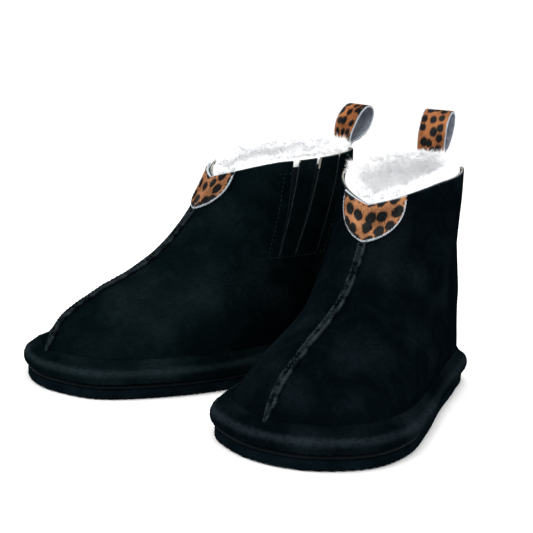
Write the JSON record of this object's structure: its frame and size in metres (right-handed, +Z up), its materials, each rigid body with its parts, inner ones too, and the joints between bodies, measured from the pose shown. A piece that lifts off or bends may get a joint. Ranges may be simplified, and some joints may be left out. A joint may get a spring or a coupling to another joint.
{
  "type": "pair of fleece-lined suede ankle boots",
  "caption": "Pair of slip-on ankle boots: black suede over white fleece, elastic gore, spotted hair-hide front patch and heel pull loops, padded edge roll on a flat sole.",
  "frame": {"origin": "on the ground, at the middle of the pair's bounding box", "axes": "+Z up, toes towards -Y, the wearer's left boot at +X; each boot is turned out 16.7 degrees from -Y"},
  "size_m": [0.2872, 0.252, 0.1821],
  "materials": {
    "black_suede": "brushed black suede with a short nap",
    "sole_rubber": "matt black moulded sole with a small tread",
    "midsole_foam": "matt black foam layer",
    "white_fleece": "curly white sheepskin fleece",
    "leopard_hair": "short-haired calf hide, tan with black spots",
    "leopard_strap": "the same spotted hide, grey flesh side inside the loop",
    "ribbed_elastic": "black ribbed elastic webbing",
    "fibre_board": "pressed fibre board",
    "stiffener": "pressed heel stiffener"
  },
  "bodies": {
    "left_boot": {"left_outsole": "sole_rubber", "left_midsole": "midsole_foam", "left_welt_roll": "black_suede", "left_insole_board": "fibre_board", "left_footbed": "white_fleece", "left_upper_outer_side": "black_suede", "left_upper_inner_side": "black_suede", "left_gore_elastic": "ribbed_elastic", "left_heel_counter": "stiffener", "left_lining_outer_side": "white_fleece", "left_lining_inner_side": "white_fleece", "left_front_piping": "black_suede", "left_back_strip": "black_suede", "left_front_patch": "leopard_hair", "left_pull_loop_tail": "leopard_strap"},
    "left_pull_loop": {"left_pull_loop": "leopard_strap"},
    "right_boot": {"right_outsole": "sole_rubber", "right_midsole": "midsole_foam", "right_welt_roll": "black_suede", "right_insole_board": "fibre_board", "right_footbed": "white_fleece", "right_upper_outer_side": "black_suede", "right_upper_inner_side": "black_suede", "right_gore_elastic": "ribbed_elastic", "right_heel_counter": "stiffener", "right_lining_outer_side": "white_fleece", "right_lining_inner_side": "white_fleece", "right_front_piping": "black_suede", "right_back_strip": "black_suede", "right_front_patch": "leopard_hair", "right_pull_loop_tail": "leopard_strap"},
    "right_pull_loop": {"right_pull_loop": "leopard_strap"}
  },
  "joints": [
    {"name": "right_boot_lift", "type": "slide", "parent": "left_boot", "child": "right_boot", "axis": [0, 0, 1], "range_m": [0, 0.25]},
    {"name": "left_pull_loop_flex", "type": "hinge", "parent": "left_boot", "child": "left_pull_loop", "pos_m": [0.03787, 0.09754, 0.1518], "axis": [-0.9578, -0.2874, 0], "range_deg": [-60, 40], "stiffness_Nm_per_rad": 0.06},
    {"name": "right_pull_loop_flex", "type": "hinge", "parent": "right_boot", "child": "right_pull_loop", "pos_m": [-0.036, 0.09296, 0.1518], "axis": [-0.9578, 0.2874, 0], "range_deg": [-60, 40], "stiffness_Nm_per_rad": 0.06}
  ]
}
